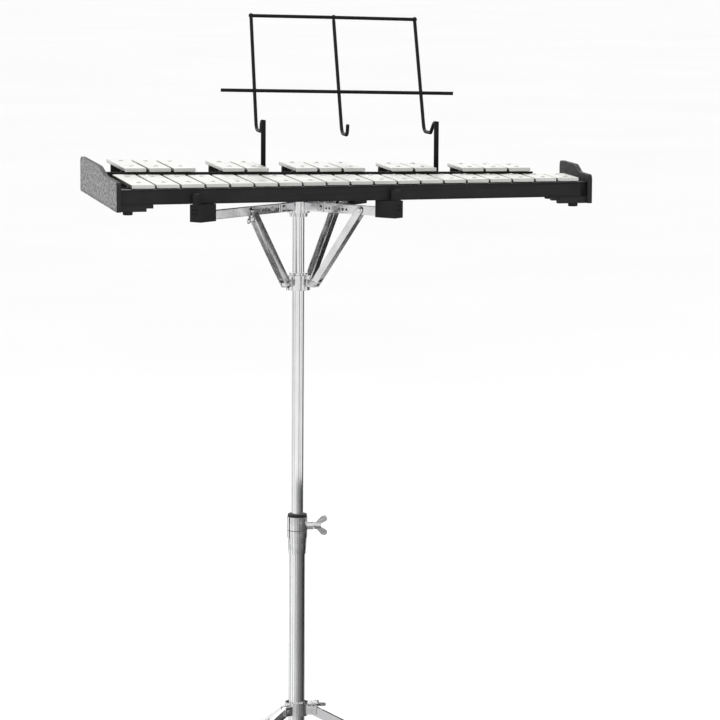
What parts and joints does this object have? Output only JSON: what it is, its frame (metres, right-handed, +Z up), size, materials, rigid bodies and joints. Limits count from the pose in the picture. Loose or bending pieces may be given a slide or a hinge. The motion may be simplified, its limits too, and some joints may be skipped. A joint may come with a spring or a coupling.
{
  "type": "xylophone on stand",
  "caption": "Two-row metal-bar xylophone in a tapered black frame with a wire music rack, on a height-adjustable chrome basket stand with tripod.",
  "frame": {"origin": "on the floor below the middle of the overall box", "axes": "+X towards the high notes, +Y away from the player, +Z up"},
  "size_m": [0.6434, 0.5058, 1.0685],
  "materials": {
    "bar_metal": "satin",
    "plate_plastic": "grained",
    "rail_paint": "satin",
    "support_plastic": "matte",
    "felt": "felt",
    "screw_steel": "satin",
    "rack_wire": "satin",
    "black_rubber": "matte",
    "bush_nylon": "matte",
    "cast_steel": "satin",
    "arm_steel": "polished",
    "chrome_tube": "polished"
  },
  "bodies": {
    "stand_base": {"lower_tube": "chrome_tube", "height_clamp": "cast_steel", "clamp_bush": "bush_nylon"},
    "clamp_wing": {"clamp_wing": "cast_steel"},
    "leg_slider": {"leg_collar": "cast_steel"},
    "leg_wing": {"leg_wing": "cast_steel"},
    "leg_1": {"leg_1": "chrome_tube", "leg_foot_1": "black_rubber"},
    "brace_1": {"brace_1": "chrome_tube"},
    "leg_2": {"leg_2": "chrome_tube", "leg_foot_2": "black_rubber"},
    "brace_2": {"brace_2": "chrome_tube"},
    "leg_3": {"leg_3": "chrome_tube", "leg_foot_3": "black_rubber"},
    "brace_3": {"brace_3": "chrome_tube"},
    "mast": {"upper_tube": "chrome_tube"},
    "basket": {"basket_hub": "cast_steel"},
    "basket_slider": {"basket_collar": "cast_steel"},
    "arm_left": {"arm_left": "arm_steel", "grip_left": "black_rubber"},
    "strut_left": {"strut_left": "arm_steel"},
    "arm_right": {"arm_right": "arm_steel", "grip_right": "black_rubber"},
    "strut_right": {"strut_right": "arm_steel"},
    "arm_rear": {"arm_rear": "arm_steel", "grip_rear": "black_rubber"},
    "strut_rear": {"strut_rear": "arm_steel"},
    "keyboard": {"bar_01": "bar_metal", "bar_02": "bar_metal", "bar_03": "bar_metal", "bar_04": "bar_metal", "bar_05": "bar_metal", "bar_06": "bar_metal", "bar_07": "bar_metal", "bar_08": "bar_metal", "bar_09": "bar_metal", "bar_10": "bar_metal", "bar_11": "bar_metal", "bar_12": "bar_metal", "bar_13": "bar_metal", "bar_14": "bar_metal", "bar_15": "bar_metal", "bar_16": "bar_metal", "bar_17": "bar_metal", "bar_18": "bar_metal", "bar_19": "bar_metal", "sharps_1": "bar_metal", "sharps_2": "bar_metal", "sharps_3": "bar_metal", "sharps_4": "bar_metal", "sharps_5": "bar_metal", "left_end_plate": "plate_plastic", "right_end_plate": "plate_plastic", "front_rail": "rail_paint", "rear_rail": "rail_paint", "bar_supports": "support_plastic", "felt_strips": "felt", "bar_screws": "screw_steel", "keyboard_feet": "black_rubber"},
    "rack": {"music_rack": "rack_wire"}
  },
  "joints": [
    {"name": "clamp_wing_turn", "type": "hinge", "parent": "stand_base", "child": "clamp_wing", "pos_m": [-0.04671, -0.05805, 0.3915], "axis": [0.9848, -0.1736, 0], "continuous": true},
    {"name": "leg_slide", "type": "slide", "parent": "stand_base", "child": "leg_slider", "axis": [0, 0, 1], "range_m": [0, 0.06]},
    {"name": "leg_wing_turn", "type": "hinge", "parent": "leg_slider", "child": "leg_wing", "pos_m": [-0.0472, -0.05253, 0.144], "axis": [0.9397, 0.342, 0], "continuous": true},
    {"name": "leg_1_fold", "type": "hinge", "parent": "leg_slider", "child": "leg_1", "pos_m": [-0.03685, -0.06443, 0.14], "axis": [0.3746, 0.9272, 0], "range_deg": [0, 22.08]},
    {"name": "brace_1_fold", "type": "hinge", "parent": "stand_base", "child": "brace_1", "pos_m": [-0.03664, -0.05589, 0.03], "axis": [-0.3746, -0.9272, 0], "range_deg": [0, 17.21]},
    {"name": "leg_2_fold", "type": "hinge", "parent": "leg_slider", "child": "leg_2", "pos_m": [-0.07459, -0.06974, 0.14], "axis": [0.6157, -0.788, 0], "range_deg": [0, 22.08]},
    {"name": "brace_2_fold", "type": "hinge", "parent": "stand_base", "child": "brace_2", "pos_m": [-0.0673, -0.07419, 0.03], "axis": [-0.6157, 0.788, 0], "range_deg": [0, 17.21]},
    {"name": "leg_3_fold", "type": "hinge", "parent": "leg_slider", "child": "leg_3", "pos_m": [-0.06031, -0.0344, 0.14], "axis": [-0.9903, -0.1392, 0], "range_deg": [0, 22.08]},
    {"name": "brace_3_fold", "type": "hinge", "parent": "stand_base", "child": "brace_3", "pos_m": [-0.06782, -0.03849, 0.03], "axis": [0.9903, 0.1392, 0], "range_deg": [0, 17.21]},
    {"name": "height_slide", "type": "slide", "parent": "stand_base", "child": "mast", "axis": [0, 0, 1], "range_m": [-0.14, 0.09]},
    {"name": "basket_swivel", "type": "hinge", "parent": "mast", "child": "basket", "pos_m": [-0.05725, -0.05619, 0.8215], "axis": [0, 0, 1], "range_deg": [-180, 180]},
    {"name": "basket_slide", "type": "slide", "parent": "basket", "child": "basket_slider", "axis": [0, 0, -1], "range_m": [0, 0.04496]},
    {"name": "arm_left_fold", "type": "hinge", "parent": "basket", "child": "arm_left", "pos_m": [-0.08531, -0.08181, 0.8215], "axis": [0.6743, -0.7385, 0], "range_deg": [0, 35.2]},
    {"name": "strut_left_fold", "type": "hinge", "parent": "basket_slider", "child": "strut_left", "pos_m": [-0.07793, -0.07507, 0.7195], "axis": [-0.6743, 0.7385, 0], "range_deg": [0, 6.56]},
    {"name": "arm_right_fold", "type": "hinge", "parent": "basket", "child": "arm_right", "pos_m": [-0.03182, -0.08443, 0.8215], "axis": [0.7431, 0.6691, 0], "range_deg": [0, 35.2]},
    {"name": "strut_right_fold", "type": "hinge", "parent": "basket_slider", "child": "strut_right", "pos_m": [-0.03851, -0.077, 0.7195], "axis": [-0.7431, -0.6691, 0], "range_deg": [0, 6.56]},
    {"name": "arm_rear_fold", "type": "hinge", "parent": "basket", "child": "arm_rear", "pos_m": [-0.03182, -0.02795, 0.8215], "axis": [-0.7431, 0.6691, 0], "range_deg": [0, 35.2]},
    {"name": "strut_rear_fold", "type": "hinge", "parent": "basket_slider", "child": "strut_rear", "pos_m": [-0.03851, -0.03538, 0.7195], "axis": [0.7431, -0.6691, 0], "range_deg": [0, 6.56]},
    {"name": "keyboard_lift", "type": "slide", "parent": "basket", "child": "keyboard", "axis": [0, 0, 1], "range_m": [0, 0.15]},
    {"name": "rack_lift", "type": "slide", "parent": "keyboard", "child": "rack", "axis": [0, 0, 1], "range_m": [0, 0.03]}
  ],
  "couplings": [
    {"joint": "leg_1_fold", "follows": "leg_slide", "rad_per_m": 6.3639},
    {"joint": "brace_1_fold", "follows": "leg_slide", "rad_per_m": 4.9489},
    {"joint": "leg_2_fold", "follows": "leg_slide", "rad_per_m": 6.3639},
    {"joint": "brace_2_fold", "follows": "leg_slide", "rad_per_m": 4.9489},
    {"joint": "leg_3_fold", "follows": "leg_slide", "rad_per_m": 6.3639},
    {"joint": "brace_3_fold", "follows": "leg_slide", "rad_per_m": 4.9489},
    {"joint": "arm_left_fold", "follows": "basket_slide", "rad_per_m": 13.587},
    {"joint": "strut_left_fold", "follows": "basket_slide", "rad_per_m": 2.4678},
    {"joint": "arm_right_fold", "follows": "basket_slide", "rad_per_m": 13.587},
    {"joint": "strut_right_fold", "follows": "basket_slide", "rad_per_m": 2.4678},
    {"joint": "arm_rear_fold", "follows": "basket_slide", "rad_per_m": 13.587},
    {"joint": "strut_rear_fold", "follows": "basket_slide", "rad_per_m": 2.4678}
  ]
}
